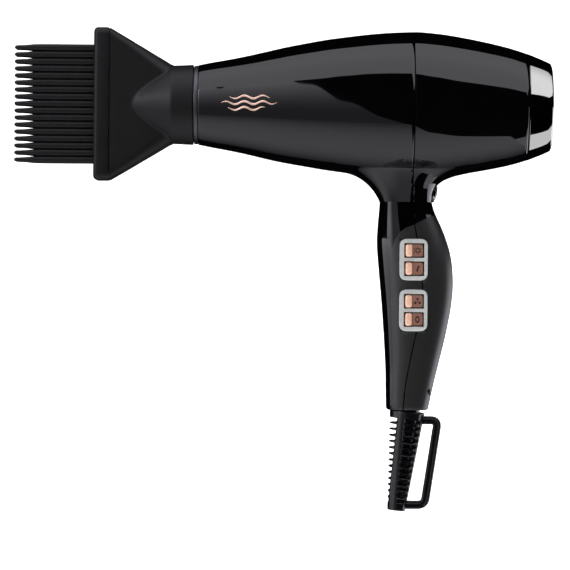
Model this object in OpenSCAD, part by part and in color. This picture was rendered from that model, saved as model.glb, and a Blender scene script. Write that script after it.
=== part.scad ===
// Salon hair dryer with a pick-comb attachment.
// The air axis is the X axis: the outlet mouth is at the origin and faces -X, the intake faces +X.
// The handle hangs down along -Z and the keys are on the -Y side. All sizes are in millimetres.

/* [Barrel] */
// Length of the outlet spigot that attachments push on to
spigot_len = 19; // [16:0.5:19]
// Outside radius of the outlet spigot
spigot_r = 21; // [20.5:0.1:21]
// Wall thickness of the casing
wall = 2.2; // [1.8:0.1:2.4]
// Place of the joint between the front and rear housings
seam_x = 147.4; // [146:0.2:149]
// Gap at the joints of the casing
seam_gap = 0.3; // [0.2:0.1:0.5]
// Place of the joint between the rear housing and the filter cap
cap_x = 216; // [215:0.5:217]

/* [Comb] */
// Number of teeth in each row
tooth_count = 17; // [9:2:17]
// Distance from tooth to tooth
tooth_pitch = 4.2; // [3.9:0.1:4.2]
// Length of a tooth
tooth_len = 47.8; // [30:0.2:60]
// Distance from the middle plane to a row of teeth
row_y = 3.7; // [3.6:0.1:4]
// Height of the comb plate
plate_h = 91.5; // [88:0.5:100]
// Thickness of the comb plate across its rows
plate_w = 26; // [24:0.5:30]

/* [Keys] */
// Width of a key window along the barrel
window_w = 11.4; // [10.8:0.1:11.4]
// Height of a key window along the handle
window_h = 8; // [7.8:0.1:8.2]
// Distance between the two keys of a bezel
key_pitch = 10.8; // [10.6:0.1:11.2]

/* [Cord guard] */
// Radius of the hole for a mains lead
cord_bore_r = 3.6; // [3:0.1:3.8]
// Lean of the guard towards the outlet
guard_lean = 6; // [3:0.5:8]
// Number of flex slots
slot_count = 14; // [8:1:14]
// Distance from slot to slot
slot_pitch = 3.7; // [3.5:0.1:3.7]

/* [Motor] */
// Radius of the fan over its blade tips
fan_r = 31; // [28:0.5:31]
// Number of fan blades
blade_count = 9; // [5:1:11]
// Radius of the motor shaft
shaft_r = 2.5; // [2:0.1:2.5]

/* [Hidden] */
$fn = 64;
eps = 0.01;

// Outside of the barrel: [place along the air axis, radius].
barrel_points = [[19, 24.2], [36, 26.8], [60, 32.1], [84, 37.5], [112, 41.9],
    [147.4, 44.7], [180, 41.4], [204, 36.1], [216, 32.2]];
// Sections of the handle: [height, front edge, rear edge, half thickness].
handle_sections = [[-34, 98, 192, 15.4], [-39.5, 105, 186, 15.8], [-42, 112.5, 175, 15.8],
    [-44.5, 118.3, 167, 15.6], [-48, 122.4, 162.8, 15.4], [-52.5, 125.8, 160.8, 15.2],
    [-58.3, 128.3, 159.5, 15], [-65, 127.8, 161.6, 15.3], [-74, 127.1, 165.9, 16],
    [-86.5, 127, 170.2, 16.7], [-98, 128.1, 172.3, 17], [-110, 129.2, 172.7, 16.9],
    [-124, 130.5, 171.2, 16.4], [-140, 131.7, 168, 15.4], [-158, 132.7, 163.8, 14],
    [-172, 133, 160.5, 13], [-180.4, 133.3, 158.6, 12.5], [-181.9, 134.7, 157.2, 11.2]];
handle_sides = 24;
handle_bluntness = 2.4;
// Joint between the housings, down the handle: [place along the air axis, height].
seam_points = [[147.4, -52], [148.6, -70], [151.6, -86], [153.7, -107],
    [150.7, -135], [146.4, -155], [144.2, -169], [143.1, -184]];

handle_bottom = -181.9;
floor_z = -179.5;

// Keys and their bezels, on the -Y side.
bezel_x = 148.1;
bezel_w = 16.8;
bezel_h = 24.8;
bezel_face = -18;
bezel_back = -15;
bezel_r = 3.2;
upper_bezel_z = -91.9;
lower_bezel_z = -122.1;
window_x = 148.6;
pivot_x = 153.2;
pivot_y = -16.2;
pivot_r = 0.8;
key_side_gap = 0.3;
switch_face = -11;

// Cool-shot button, on the rear of the neck.
shot_pos = [160.9, 0, -52.6];
shot_tilt = 14;
shot_r = 4;
shot_travel = 1.5;

// Cord guard: its axis starts below the handle and leans towards the outlet.
guard_top = [145.6, 0, -182.6];
guard_len = 60;
guard_drop = 0.8;
guard_r1 = 10.5;
guard_r2 = 5.3;
guard_core = 5.2;
loop_r = 2.5;
neck_r = 7.5;
loop_points = [[152, -188], [161.6, -188], [164.2, -190.7], [156.9, -235.6], [153.6, -239],
    [144, -239]];

// Comb attachment.
funnel_x = -34.1;
plate_depth = 9.3;
collar_end = spigot_len - 2.9;
collar_r = 24.1;
slab_w = 24;

// Motor and fan.
stator_x = 141;
stator_len = 24;
fan_x = 184;
fan_depth = 16;
duct_r = 31.6;

// A point on the curve between b and c, with its neighbours a and d.
function curve(a, b, c, d, t) =
    0.5 * (2 * b + (c - a) * t + (2 * a - 5 * b + 4 * c - d) * t * t
    + (3 * b - a - 3 * c + d) * t * t * t);

// A smooth curve through the points p, with n steps from each to the next.
function spline(p, n) = concat(
    [for (i = [0 : len(p) - 2], k = [0 : n - 1])
        curve(p[max(i - 1, 0)], p[i], p[i + 1], p[min(i + 2, len(p) - 1)], k / n)],
    [p[len(p) - 1]]);

barrel_curve = spline(barrel_points, 4);
seam_curve = spline(seam_points, 3);

function barrel_r(x) = lookup(x, barrel_curve);
function signed_power(v, e) = sign(v) * pow(abs(v), e);

// One ring of the handle: section s moved inwards by inset.
function handle_ring(s, inset) =
    let (cx = (s[1] + s[2]) / 2, a = (s[2] - s[1]) / 2 - inset, b = s[3] - inset)
    [for (k = [0 : handle_sides - 1])
        let (t = 360 * k / handle_sides)
        [cx + a * signed_power(cos(t), 2 / handle_bluntness),
            b * signed_power(sin(t), 2 / handle_bluntness), s[0]]];

// Faces of a closed tube of rings with the same number of sides.
function tube_faces(rings, sides) = concat(
    [[for (k = [sides - 1 : -1 : 0]) k]],
    [for (i = [0 : rings - 2], k = [0 : sides - 1], half = [0, 1])
        let (n = (k + 1) % sides, a = i * sides, b = (i + 1) * sides)
        half == 0 ? [a + k, b + n, b + k] : [a + k, a + n, b + n]],
    [[for (k = [0 : sides - 1]) (rings - 1) * sides + k]]);

module loft(rings, sides) {
    polyhedron([for (r = rings, p = r) p], tube_faces(len(rings), sides), convexity = 6);
}

// A round tube of radius r along a path that keeps its y.
module wire(path, r, sides = 8) {
    last = len(path) - 1;
    rings = [for (i = [0 : last])
        let (d = path[min(i + 1, last)] - path[max(i - 1, 0)], t = d / norm(d),
            side = [0, 1, 0], up = cross(t, side))
        [for (k = [0 : sides - 1])
            path[i] + r * (cos(360 * k / sides) * side - sin(360 * k / sides) * up)]];
    loft(rings, sides);
}

// Turns a profile of [radius, place] round the air axis.
module revolve() {
    rotate([180, 0, 0]) rotate([0, 90, 0]) rotate_extrude() children();
}

// A cylinder along the air axis from x0 to x1.
module bar(x0, x1, r) {
    translate([x0, 0, 0]) rotate([0, 90, 0]) cylinder(h = x1 - x0, r = r);
}

// A ring round the air axis.
module ring(x0, x1, r_in, r_out) {
    difference() {
        bar(x0, x1, r_out);
        bar(x0 - 1, x1 + 1, r_in);
    }
}

// Straight bars across a round grille, evenly turned.
module spokes(x0, x1, reach, width, count) {
    for (k = [0 : count - 1])
        rotate([k * 180 / count, 0, 0])
            translate([x0, -width / 2, -reach]) cube([x1 - x0, width, 2 * reach]);
}

module barrel_solid(x0, x1, inset) {
    steps = ceil((x1 - x0) / 7);
    revolve() polygon(concat([[0, x0]],
        [for (k = [0 : steps])
            let (x = x0 + (x1 - x0) * k / steps) [barrel_r(x) - inset, x]],
        [[0, x1]]));
}

module handle_solid(inset, lowest) {
    loft([for (s = handle_sections) if (s[0] > lowest + 0.2) handle_ring(s, inset),
        for (s = handle_sections) if (s[0] == handle_bottom)
            handle_ring([lowest, s[1], s[2], s[3]], inset)], handle_sides);
}

// The side of the joint line that reaches along the air axis to x_end.
module seam_side(x_end, shift) {
    rotate([90, 0, 0]) translate([0, 0, -60]) linear_extrude(120)
        polygon(concat([[seam_x + shift, 60], [x_end, 60], [x_end, -190]],
            [for (i = [len(seam_curve) - 1 : -1 : 0]) seam_curve[i] + [shift, 0]]));
}

module casing_outside() {
    barrel_solid(spigot_len, cap_x, 0);
    handle_solid(0, handle_bottom);
}

module casing_cavity() {
    barrel_solid(spigot_len + 1.6, cap_x + 1, wall);
    handle_solid(wall, floor_z);
}

// A rounded plate in the plane of the handle's side, from y0 to y1.
module side_plate(x, z, w, h, r, y0, y1) {
    translate([x, y1, z]) rotate([90, 0, 0]) linear_extrude(y1 - y0) union() {
        square([w - 2 * r, h], center = true);
        square([w, h - 2 * r], center = true);
        for (i = [-1, 1], j = [-1, 1])
            translate([i * (w / 2 - r), j * (h / 2 - r)]) circle(r);
    }
}

module bezel_cutouts() {
    for (z = [upper_bezel_z, lower_bezel_z])
        side_plate(bezel_x, z, bezel_w + 0.2, bezel_h + 0.2, bezel_r + 0.1, -22, -10);
}

// Moves a child that is drawn along +Z to the cool-shot button's axis.
module at_shot() {
    translate(shot_pos) rotate([0, 90 + shot_tilt, 0]) children();
}

module screw_axis(x, side) {
    translate([x, side * 6.9, -170.5]) rotate([0, 90, 0]) children();
}

// Opening in the handle's floor for the neck of the cord guard.
module guard_hole(r) {
    translate([guard_top[0], 0, handle_bottom - 2]) cylinder(h = 6, r = r);
}

module front_housing() {
    color("#101012") difference() {
        intersection() {
            union() casing_outside();
            seam_side(10, -seam_gap / 2);
        }
        difference() {
            union() casing_cavity();
            for (side = [-1, 1]) screw_axis(128, side) cylinder(h = 15.6, r = 2.6);
        }
        bar(spigot_len - 1, spigot_len + 2, spigot_r + 0.1);
        for (side = [-1, 1]) screw_axis(136, side) cylinder(h = 14, r = 1.2);
        bezel_cutouts();
        guard_hole(neck_r + 0.3);
    }
}

module rear_housing() {
    color("#101012") difference() {
        intersection() {
            union() casing_outside();
            seam_side(230, seam_gap / 2);
        }
        difference() {
            union() casing_cavity();
            for (side = [-1, 1]) screw_axis(144.6, side) cylinder(h = 14, r = 3);
        }
        for (side = [-1, 1]) {
            screw_axis(140, side) cylinder(h = 20, r = 1.3);
            screw_axis(153, side) cylinder(h = 12, r = 2.3);
        }
        bezel_cutouts();
        guard_hole(neck_r + 0.3);
        at_shot() translate([0, 0, -6]) cylinder(h = 12, r = shot_r + 0.15);
        at_shot() translate([0, 0, -0.9]) cylinder(h = 6, r = shot_r + 1.1);
    }
}

// Caps that hide the screws, set just inside the back of the handle.
module screw_caps() {
    color("#08080a") for (side = [-1, 1]) screw_axis(155.6, side) cylinder(h = 3.3, r = 2.25);
}

module outlet_collar() {
    color("#1a1a1c") revolve() polygon([[spigot_r - 1.8, 0], [spigot_r - 0.5, 0], [spigot_r, 0.8],
        [spigot_r, spigot_len + 1.8], [spigot_r + 0.9, spigot_len + 1.8],
        [spigot_r + 0.9, spigot_len + 8], [spigot_r - 1.8, spigot_len + 8]]);
}

module outlet_trim_ring() {
    color("#6e6e72") ring(spigot_len - 2.55, spigot_len - 0.05, spigot_r + 0.05, 23.7);
}

module outlet_grille() {
    color("#202022") union() {
        ring(1.5, 4.5, spigot_r - 3.1, spigot_r - 1.9);
        for (r = [6, 12]) ring(1.5, 3.5, r, r + 1.1);
        bar(1.5, 4.5, 2.5);
        difference() {
            spokes(1.8, 3.6, spigot_r - 2.5, 1.2, 4);
            bar(0, 5, 2);
        }
    }
}

module mica_liner() {
    color("#b9a57c") ring(30, 112, 22.3, 22.9);
}

module coil_rings(wire_r) {
    for (k = [0 : 8])
        translate([38 + 7 * k, 0, 0]) rotate([0, 90, 0])
            rotate_extrude() translate([17, 0]) circle(wire_r);
}

module heater_former() {
    color("#cbb98c") difference() {
        spokes(32, 108, 21.8, 0.8, 2);
        coil_rings(1.5);
    }
}

module heating_coils() {
    color("#8d8378") coil_rings(1.3);
}

module thermal_cutout() {
    color("#c9c9cc") union() {
        translate([84, 1, 3]) cube([12, 4, 8]);
        translate([90, 5, 7]) rotate([-90, 0, 0]) cylinder(h = 2.4, r = 3.6);
    }
}

module thermal_fuse() {
    color("#d8d4c8") union() {
        translate([84, -4, -6]) rotate([0, 90, 0]) cylinder(h = 10, r = 1.9);
        translate([80, -4, -6]) rotate([0, 90, 0]) cylinder(h = 18, r = 0.5);
    }
}

module terminal_block() {
    color("#e7e2d4") difference() {
        translate([108.2, -8, -17]) cube([5, 16, 8]);
        for (y = [-4.5, 0, 4.5]) translate([110, y, -13]) rotate([0, 90, 0]) cylinder(h = 5, r = 1.3);
    }
}

// Route of the leads from the switches, up the neck and forward to the heater.
lead_route = [[138, -77], [137, -70], [136, -60], [135, -50], [133, -42], [129, -35],
    [124, -29], [120, -22], [117, -16.5], [114, -13.4], [110.6, -13]];

module lead_wires() {
    for (y = [-4.5, 0, 4.5])
        color(y < 0 ? "#3a62a8" : y > 0 ? "#7a4a2a" : "#e4e4e0")
            wire([for (p = lead_route) [p[0], y, p[1]]], 1.1);
}

module fan_duct() {
    color("#2a2a2c") union() {
        ring(160, 207, duct_r, duct_r + 1.2);
        ring(139, 178, 23.1, 24.3);
        ring(160, 162, duct_r, 38.5);
        difference() {
            for (k = [0 : 6])
                rotate([k * 360 / 7, 0, 0])
                    translate([162.5, -0.8, 23.7]) rotate([0, 0, 12]) cube([14, 1.6, 8.4]);
            bar(150, 190, 23.4);
        }
    }
}

module motor_stator() {
    color("#7d8086") difference() {
        ring(stator_x, stator_x + stator_len, 14.5, 23);
        intersection() {
            ring(stator_x - 1, stator_x + stator_len + 1, 15.5, 20.1);
            translate([stator_x - 2, -9, -30]) cube([stator_len + 4, 18, 60]);
        }
    }
}

module field_windings() {
    color("#a5562b") difference() {
        union() {
            ring(stator_x - 4, stator_x - 0.1, 15.6, 19.1);
            ring(stator_x + stator_len + 0.1, stator_x + stator_len + 4, 15.6, 19.1);
            intersection() {
                ring(stator_x - 1, stator_x + stator_len + 1, 15.6, 20);
                translate([stator_x - 2, -8.9, -30]) cube([stator_len + 4, 17.8, 60]);
            }
        }
        translate([stator_x - 6, -1, -30]) cube([stator_len + 12, 2, 60]);
    }
}

// A bearing bracket: a disc with air holes and two posts that reach the stator.
module bracket(x0, x1, post0, post1) {
    difference() {
        union() {
            bar(x0, x1, 18);
            for (s = [-1, 1]) {
                translate([x0, s * 17, 0]) translate([0, -4.5, -3]) cube([x1 - x0, 9, 6]);
                translate([post0, s * 21.1, 0]) rotate([0, 90, 0]) cylinder(h = post1 - post0, r = 1.7);
            }
        }
        bar(x0 - 1, x1 + 1, 6);
        for (a = [30 : 60 : 330])
            rotate([a, 0, 0]) translate([x0 - 1, 0, 12]) rotate([0, 90, 0]) cylinder(h = 6, r = 3.2);
    }
}

module motor_front_bracket() {
    color("#2c2c30") bracket(120, 123, 120, stator_x);
}

module motor_rear_bracket() {
    color("#2c2c30") bracket(172, 175, stator_x + stator_len, 175);
}

module front_bearing() {
    color("#b08d57") ring(119, 124, shaft_r + 0.05, 5.98);
}

module rear_bearing() {
    color("#b08d57") ring(171, 176, shaft_r + 0.05, 5.98);
}

module brush_holders() {
    color("#c79a4a") for (s = [-1, 1])
        difference() {
            translate([123, -3.4, s > 0 ? 9.5 : -19.5]) cube([12.5, 6.8, 10]);
            translate([129, -2.15, s > 0 ? 9 : -19]) cube([5.2, 4.3, 10]);
        }
}

module carbon_brushes() {
    color("#1c1c1e") for (s = [-1, 1])
        translate([129.1, -2.05, s > 0 ? 8.3 : -15.5]) cube([5, 4.1, 7.2]);
}

module brush_springs() {
    color("#c4c6ca") for (s = [-1, 1])
        for (k = [0 : 3])
            translate([131.6, 0, s * (15.9 + k * 0.8)])
                rotate_extrude() translate([1.4, 0]) circle(r = 0.3);
}

module motor_shaft() {
    color("#c8cace") bar(115, 206, shaft_r);
}

module armature() {
    color("#70747a") difference() {
        ring(stator_x, stator_x + stator_len, shaft_r, 14);
        for (a = [0 : 30 : 330])
            rotate([a, 0, 0]) translate([stator_x - 1, -0.9, 9]) cube([stator_len + 2, 1.8, 6]);
    }
}

module armature_windings() {
    color("#b4622f") union() {
        ring(stator_x - 2.6, stator_x - 0.05, 4, 12);
        ring(stator_x + stator_len + 0.05, stator_x + stator_len + 2.6, 4, 12);
    }
}

module commutator() {
    color("#b87333") difference() {
        ring(127, 137, shaft_r, 8);
        for (a = [0 : 30 : 330])
            rotate([a, 0, 0]) translate([126, -0.25, 7]) cube([12, 0.5, 2]);
    }
}

module fan_impeller() {
    color("#d9d6cc") union() {
        ring(fan_x, fan_x + fan_depth, shaft_r, 10);
        difference() {
            intersection() {
                for (k = [0 : blade_count - 1])
                    rotate([k * 360 / blade_count, 0, 0])
                        translate([fan_x + fan_depth / 2, 0, 9]) rotate([0, 0, 42])
                            translate([-8.5, -0.7, 0]) cube([17, 1.4, 24]);
                bar(fan_x, fan_x + fan_depth, fan_r);
            }
            bar(fan_x - 1, fan_x + fan_depth + 1, 9);
        }
    }
}

module fan_nut() {
    color("#c8a24a") difference() {
        translate([fan_x + fan_depth, 0, 0]) rotate([0, 90, 0]) cylinder(h = 3.4, r = 4.4, $fn = 6);
        bar(fan_x, fan_x + fan_depth + 5, shaft_r);
    }
}

module rear_guard() {
    color("#1b1b1d") union() {
        ring(207.6, 210.2, 29.2, 31);
        for (r = [9, 16, 23]) ring(208, 209.6, r, r + 1.2);
        spokes(208, 209.6, 30, 1.4, 4);
        bar(207.8, 209.8, 3.5);
    }
}

module rear_cap_ring() {
    color("#c9c9cb") revolve() polygon([[31.9, cap_x + 0.3], [30.8, cap_x + 3.2], [29.3, cap_x + 7],
        [27.4, cap_x + 11], [26, cap_x + 13.4], [25.3, cap_x + 14.3], [23.5, cap_x + 14.3],
        [23.5, cap_x + 12.8], [25.3, cap_x + 10.4], [27.2, cap_x + 6.5], [28.2, cap_x + 3.4],
        [28.2, cap_x - 5], [29.6, cap_x - 5], [29.6, cap_x + 0.3]]);
}

module rear_cap_grille() {
    color("#161618") union() {
        for (r = [3.4, 7.4, 11.4, 15.4, 19.4]) {
            lift = 0.8 * (1 - pow(r / 23.4, 2));
            ring(cap_x + 12 + lift, cap_x + 14 + lift, r, r + 1.2);
        }
        ring(cap_x + 12, cap_x + 14.3, 22.2, 23.4);
        spokes(cap_x + 12.2, cap_x + 13.6, 22.8, 1.1, 6);
        bar(cap_x + 12.2, cap_x + 14.9, 2);
    }
}

module filter_mesh() {
    color("#9c9da0") bar(cap_x + 10.9, cap_x + 11.4, 24.4);
}

// A bezel with two windows, bearing holes for the keys and a box that the switch unit closes.
module bezel(z) {
    difference() {
        union() {
            side_plate(bezel_x, z, bezel_w, bezel_h, bezel_r, bezel_face, bezel_back);
            side_plate(bezel_x, z, 15.4, 23.4, 2.2, bezel_back - eps, switch_face - 0.05);
        }
        side_plate(bezel_x + 0.4, z, 12.6, 21.2, 1, bezel_back + 0.6, switch_face + 1);
        for (s = [-1, 1]) {
            side_plate(window_x, z + s * key_pitch / 2, window_w, window_h, 0.3, bezel_face - 1, -14);
            translate([pivot_x, pivot_y, z + s * key_pitch / 2 - window_h / 2 - 0.9])
                cylinder(h = window_h + 1.8, r = pivot_r + 0.06);
        }
    }
}

module upper_bezel() {
    color("#b4b6b8") bezel(upper_bezel_z);
}

module lower_bezel() {
    color("#b4b6b8") bezel(lower_bezel_z);
}

// A key: a raised ridge to press, a sunk pad, a foot over the dome, and two pivots.
module key(z) {
    half = window_h / 2 - key_side_gap;
    color("#b9826c") translate([0, 0, z]) union() {
        translate([0, 0, -half]) linear_extrude(2 * half) union() {
            polygon([[143.2, -15], [143.2, -18.3], [146.9, -18.3], [147.3, -17.4],
                [153.4, -17.4], [153.8, -17], [153.8, -15.4], [153.4, -15]]);
            translate([145.05, -18.3]) circle(1.85);
            translate([143.6, -15.5]) square([3, 2.1]);
        }
        translate([pivot_x, pivot_y, -half - 0.8]) cylinder(h = 2 * half + 1.6, r = pivot_r);
    }
}

module heat_key() { key(upper_bezel_z + key_pitch / 2); }
module run_key() { key(upper_bezel_z - key_pitch / 2); }
module fan_key() { key(lower_bezel_z + key_pitch / 2); }
module off_key() { key(lower_bezel_z - key_pitch / 2); }

// A rubber dome under the foot of a key.
module dome(z) {
    color("#d5d0c4") translate([145.1, switch_face, z]) rotate([90, 0, 0])
        cylinder(h = 2.35, r1 = 2.4, r2 = 1.2);
}

module heat_dome() { dome(upper_bezel_z + key_pitch / 2); }
module run_dome() { dome(upper_bezel_z - key_pitch / 2); }
module fan_dome() { dome(lower_bezel_z + key_pitch / 2); }
module off_dome() { dome(lower_bezel_z - key_pitch / 2); }

module switch_unit(z) {
    color("#232325") union() {
        translate([140.6, switch_face, z - 11.5]) cube([15, 7, 23]);
        for (x = [143, 148, 153], s = [-1, 1])
            translate([x - 0.4, switch_face + 7, z + s * 7 - 1.2]) cube([0.8, 4.5, 2.4]);
    }
}

module upper_switch_unit() { switch_unit(upper_bezel_z); }
module lower_switch_unit() { switch_unit(lower_bezel_z); }

module cool_shot_button() {
    color("#0c0c0e") at_shot() union() {
        translate([0, 0, -4.5]) cylinder(h = 5.3, r = shot_r);
        translate([0, 0, 0.8]) cylinder(h = 0.6, r1 = shot_r, r2 = shot_r - 0.8);
        translate([0, 0, -5.7]) cylinder(h = 1.3, r = shot_r + 0.7);
    }
}

module cool_shot_ring() {
    color("#c9c9cb") at_shot() difference() {
        union() {
            translate([0, 0, -0.85]) cylinder(h = 1.35, r = shot_r + 1);
            translate([0, 0, 0.5 - eps]) cylinder(h = 0.4, r1 = shot_r + 1, r2 = shot_r + 0.5);
        }
        translate([0, 0, -3]) cylinder(h = 6, r = shot_r + 0.1);
    }
}

module cool_shot_spring() {
    color("#c4c6ca") at_shot() for (k = [0 : 3])
        translate([0, 0, -9.3 + k]) rotate_extrude() translate([2.6, 0]) circle(r = 0.35);
}

module cool_shot_switch() {
    color("#e2e0da") at_shot() union() {
        translate([-4, -4, -15.5]) cube([8, 8, 5.8]);
        translate([0, 0, -9.8]) cylinder(h = 2.3, r = 1.2);
    }
}

// Moves a child that is drawn along -Z to the guard's leaning axis.
module at_guard() {
    translate(guard_top) rotate([0, guard_lean, 0]) children();
}

// Unit vector across the loop's run from point i to the next.
function across_run(i) =
    let (d = loop_points[i + 1] - loop_points[i])
    [d[1], -d[0]] / norm(d);

// Corner i of one side of the loop, where two runs meet in a mitre.
function loop_corner(i, side) =
    let (last = len(loop_points) - 1,
         a = across_run(max(i - 1, 0)),
         b = across_run(min(i, last - 1)))
    loop_points[i] + side * loop_r * (a + b) / (1 + a * b);

module hanging_loop() {
    last = len(loop_points) - 1;
    rotate([90, 0, 0]) translate([0, 0, -loop_r]) linear_extrude(2 * loop_r)
        polygon(concat([for (i = [0 : last]) loop_corner(i, 1)],
                       [for (i = [last : -1 : 0]) loop_corner(i, -1)]));
}

module cord_guard() {
    color("#141416") difference() {
        union() {
            at_guard() translate([0, 0, -guard_len])
                cylinder(h = guard_len - guard_drop, r1 = guard_r2, r2 = guard_r1);
            translate([guard_top[0], 0, guard_top[2] - 2]) cylinder(h = 5.6, r = neck_r);
            translate([guard_top[0], 0, floor_z + 0.1]) cylinder(h = 2.5, r = neck_r + 1.2);
            hanging_loop();
        }
        at_guard() {
            translate([0, 0, -guard_len - 2]) cylinder(h = guard_len + 14, r = cord_bore_r);
            for (k = [0 : slot_count - 1]) {
                z = -6 - k * slot_pitch;
                r = guard_r1 + (guard_r2 - guard_r1) * (-z / guard_len);
                translate([-r - 3, -15, z - 0.95]) cube([r + 3 - guard_core, 30, 1.9]);
                if (r > 7.2)
                    for (s = [-1, 1])
                        translate([-1.5, s > 0 ? guard_core : -guard_core - 10, z - 0.8])
                            cube([r - 1.6, 10, 1.6]);
            }
        }
    }
}

module cord_clamp() {
    color("#2a2a2c") difference() {
        translate([140.6, -6.5, -160]) cube([10.4, 3.2, 7]);
        for (x = [142.4, 149.2]) translate([x, -8, -156.5]) rotate([-90, 0, 0]) cylinder(h = 6, r = 1);
    }
}

module clamp_screws() {
    color("#b9bbbf") for (x = [142.4, 149.2])
        translate([x, -8.5, -156.5]) rotate([-90, 0, 0]) union() {
            cylinder(h = 2, r = 1.6);
            cylinder(h = 6.5, r = 0.9);
        }
}

module housing_screws() {
    color("#b9bbbf") for (side = [-1, 1])
        screw_axis(0, side) union() {
            translate([0, 0, 137]) cylinder(h = 18, r = 1.1);
            translate([0, 0, 153.2]) cylinder(h = 1.8, r = 2.1);
        }
}

// A plate with rounded corners across the air axis.
module cross_plate(x, depth, w, h, r) {
    translate([x, 0, 0]) rotate([0, 90, 0]) linear_extrude(depth) union() {
        square([h - 2 * r, w], center = true);
        square([h, w - 2 * r], center = true);
        for (i = [-1, 1], j = [-1, 1])
            translate([i * (h / 2 - r), j * (w / 2 - r)]) circle(r, $fn = 32);
    }
}

// The flat, flaring part of the funnel, moved inwards by inset.
module funnel_slab(inset) {
    hull() {
        cross_plate(funnel_x, eps, slab_w - 2 * inset, plate_h - 2 * inset, 5 - inset);
        cross_plate(3, eps, slab_w - 2 * inset, 48.4 - 2 * inset, 5 - inset);
    }
}

// The cone and collar of the funnel.
module funnel_cone(inset) {
    translate([-20.1, 0, 0]) rotate([0, 90, 0])
        cylinder(h = 23.1, r1 = 12 - inset, r2 = 23.5 - inset);
}

module nozzle_funnel() {
    color("#18181a") difference() {
        union() {
            funnel_slab(0);
            funnel_cone(0);
            translate([3, 0, 0]) rotate([0, 90, 0])
                cylinder(h = collar_end - 3, r1 = 23.5, r2 = collar_r);
            cross_plate(funnel_x - 5.6, 5.7, 20.8, plate_h - 5, 4);
        }
        funnel_slab(1.8);
        funnel_cone(1.8);
        cross_plate(funnel_x - 6, 6.2, 17.4, plate_h - 8.4, 2.4);
        bar(-0.6, 1.4, 21.2);
        bar(1.4, collar_end - 1.2, spigot_r + 1.1);
        bar(2, collar_end + 1, 21.3);
    }
}

module attachment_snap_ring() {
    color("#8c8c90") difference() {
        ring(2, collar_end - 1.4, spigot_r + 0.05, spigot_r + 1.04);
        translate([0, -0.6, 15]) cube([20, 1.2, 15]);
    }
}

// A tooth: thin at the root, thickest past the middle, with a rounded tip.
module tooth() {
    rotate([0, -90, 0]) rotate_extrude($fn = 24) polygon([[0, -1], [1.6, -1], [1.6, 0],
        [1.85, tooth_len * 0.3], [1.92, tooth_len * 0.5], [1.85, tooth_len * 0.7],
        [1.55, tooth_len * 0.93], [1.3, tooth_len - 0.9], [0.75, tooth_len - 0.2],
        [0, tooth_len]]);
}

module comb_plate() {
    half = (tooth_count - 1) / 2;
    front = funnel_x - plate_depth;
    color("#1d1d1f") union() {
        difference() {
            cross_plate(front, plate_depth, plate_w, plate_h, 5);
            cross_plate(front + 3.4, plate_depth, plate_w - 5, plate_h - 4.8, 4.1);
            for (k = [-half : half - 1])
                translate([front - 1, -1.4, (k + 0.5) * tooth_pitch - 1.1]) cube([6, 2.8, 2.2]);
        }
        for (k = [-half : half], s = [-1, 1])
            translate([front, s * row_y, k * tooth_pitch]) tooth();
    }
}

front_housing();
rear_housing();
outlet_collar();
outlet_trim_ring();
outlet_grille();
mica_liner();
heater_former();
heating_coils();
thermal_cutout();
thermal_fuse();
terminal_block();
lead_wires();
fan_duct();
motor_stator();
field_windings();
motor_front_bracket();
motor_rear_bracket();
front_bearing();
rear_bearing();
brush_holders();
carbon_brushes();
brush_springs();
motor_shaft();
armature();
armature_windings();
commutator();
fan_impeller();
fan_nut();
rear_guard();
rear_cap_ring();
rear_cap_grille();
filter_mesh();
upper_bezel();
lower_bezel();
heat_key();
run_key();
fan_key();
off_key();
heat_dome();
run_dome();
fan_dome();
off_dome();
upper_switch_unit();
lower_switch_unit();
cool_shot_button();
cool_shot_ring();
cool_shot_spring();
cool_shot_switch();
cord_guard();
cord_clamp();
clamp_screws();
housing_screws();
screw_caps();
nozzle_funnel();
comb_plate();
attachment_snap_ring();
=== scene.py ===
"""Looks of the salon hair dryer with its pick comb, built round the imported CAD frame.

Shapes are worked out in millimetres, in the frame of the CAD: +X runs along the air axis from the
outlet mouth to the intake, +Z is up, and the keys face -Y.
"""

import bmesh
import bpy
import math
from mathutils import Matrix, Vector


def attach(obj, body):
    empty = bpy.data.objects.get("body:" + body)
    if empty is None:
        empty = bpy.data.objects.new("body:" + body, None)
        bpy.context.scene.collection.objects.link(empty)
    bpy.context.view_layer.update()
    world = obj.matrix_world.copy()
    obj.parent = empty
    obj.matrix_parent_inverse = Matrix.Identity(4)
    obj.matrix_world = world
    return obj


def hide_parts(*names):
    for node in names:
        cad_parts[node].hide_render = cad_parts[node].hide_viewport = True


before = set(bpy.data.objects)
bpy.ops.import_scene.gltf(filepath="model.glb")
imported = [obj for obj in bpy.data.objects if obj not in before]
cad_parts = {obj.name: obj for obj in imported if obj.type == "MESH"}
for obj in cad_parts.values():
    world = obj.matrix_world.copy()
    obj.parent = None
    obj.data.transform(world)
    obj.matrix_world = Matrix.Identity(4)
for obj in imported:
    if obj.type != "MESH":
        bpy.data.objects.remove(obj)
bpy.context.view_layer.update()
scene = bpy.context.scene
MM = 0.001

# ---------------------------------------------------------------- small tools


def clamp(v, low=0.0, high=1.0):
    return max(low, min(high, v))


def smooth(low, high, v):
    t = clamp((v - low) / (high - low))
    return t * t * (3 - 2 * t)


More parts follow.
